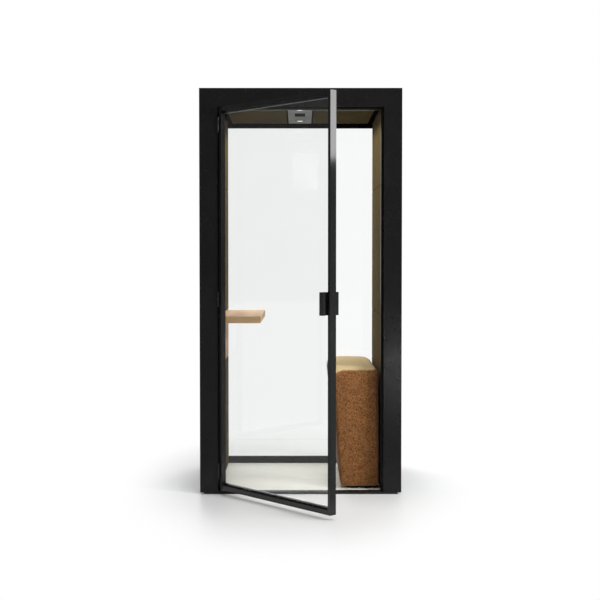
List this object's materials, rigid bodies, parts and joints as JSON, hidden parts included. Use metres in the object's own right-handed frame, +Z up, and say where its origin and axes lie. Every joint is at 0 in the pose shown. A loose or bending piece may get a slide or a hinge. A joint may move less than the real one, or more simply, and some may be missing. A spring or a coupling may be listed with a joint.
{
  "type": "acoustic office pod",
  "caption": "One-person acoustic phone booth with felt-lined walls, glass back and hinged glass door, narrow standing table, perch seat, ceiling lights and fans.",
  "frame": {"origin": "centre of the pod's footprint, on the floor it stands on", "axes": "+X to the right as seen from the door, +Y from the door to the glass back wall, +Z up"},
  "size_m": [1.12, 1.7218, 2.25],
  "materials": {
    "frame_black": "satin",
    "panel_black": "satin",
    "board_black": "matte",
    "felt_olive": "matte",
    "oak": "satin",
    "timber": "matte",
    "wool": "matte",
    "glass_clear": "gloss",
    "unit_grey": "satin",
    "lens_white": "satin",
    "steel": "satin",
    "rubber_black": "matte",
    "plastic_black": "matte",
    "plastic_white": "satin",
    "floor_cream": "matte",
    "plinth_black": "matte",
    "seat_boucle": "matte"
  },
  "bodies": {
    "pod": {"base_plate": "plinth_black", "leveling_feet": "steel", "floor_covering": "floor_cream", "threshold_plate": "frame_black", "front_left_post": "frame_black", "front_right_post": "frame_black", "front_header": "frame_black", "rear_left_post": "frame_black", "rear_right_post": "frame_black", "rear_header": "frame_black", "rear_bottom_rail": "frame_black", "corner_brackets": "steel", "rear_glass": "glass_clear", "rear_glass_seal": "rubber_black", "left_outer_panel": "panel_black", "right_outer_panel": "panel_black", "left_wall_frame": "timber", "right_wall_frame": "timber", "wall_insulation": "wool", "left_lower_felt": "felt_olive", "table_back_board": "oak", "left_upper_felts": "felt_olive", "right_lower_felts": "felt_olive", "right_upper_felts": "felt_olive", "ceiling_board": "board_black", "ceiling_felts": "felt_olive", "ceiling_unit": "unit_grey", "light_trims": "unit_grey", "light_lenses": "lens_white", "lamp_modules": "steel", "led_driver": "plastic_white", "vent_grille": "plastic_black", "fan_frames": "plastic_black", "roof_panel": "panel_black", "roof_vents": "plastic_black", "cable_gland": "rubber_black", "table_top": "oak", "table_brackets": "frame_black", "power_module": "plastic_black", "door_stop": "frame_black", "door_seal": "rubber_black", "hinge_frame_halves": "frame_black", "hinge_pins": "steel"},
    "door": {"hinge_door_halves": "frame_black", "door_hinge_stile": "frame_black", "door_latch_stile": "frame_black", "door_top_rail": "frame_black", "door_bottom_rail": "frame_black", "door_glass": "glass_clear", "door_glazing_beads": "frame_black", "outer_pull": "frame_black", "inner_pull": "frame_black", "pull_bolts": "steel"},
    "drop_seal": {"drop_seal": "rubber_black"},
    "light_button": {"light_button": "unit_grey"},
    "intake_fan": {"intake_fan_rotor": "plastic_black"},
    "exhaust_fan": {"exhaust_fan_rotor": "plastic_black"},
    "seat": {"seat_cushion": "seat_boucle", "seat_base_plate": "plastic_black", "seat_feet": "rubber_black"}
  },
  "joints": [
    {"name": "door_hinge", "type": "hinge", "parent": "pod", "child": "door", "pos_m": [-0.4565, -0.5085, 0], "axis": [0, 0, -1], "range_deg": [-49, 121]},
    {"name": "drop_seal_slide", "type": "slide", "parent": "door", "child": "drop_seal", "axis": [0, 0, -1], "range_m": [0, 0.0125], "stiffness_N_per_m": 250, "springref_m": -0.01},
    {"name": "light_button_press", "type": "slide", "parent": "pod", "child": "light_button", "axis": [-1, 0, 0], "range_m": [0, 0.003], "stiffness_N_per_m": 400, "springref_m": -0.001},
    {"name": "intake_fan_spin", "type": "hinge", "parent": "pod", "child": "intake_fan", "pos_m": [0, 0.394, 2.19], "axis": [0, 0, 1], "continuous": true},
    {"name": "exhaust_fan_spin", "type": "hinge", "parent": "pod", "child": "exhaust_fan", "pos_m": [0, -0.076, 2.19], "axis": [0, 0, 1], "continuous": true},
    {"name": "seat_slide", "type": "slide", "parent": "pod", "child": "seat", "axis": [-1, 0, 0], "range_m": [0, 0.25]}
  ]
}
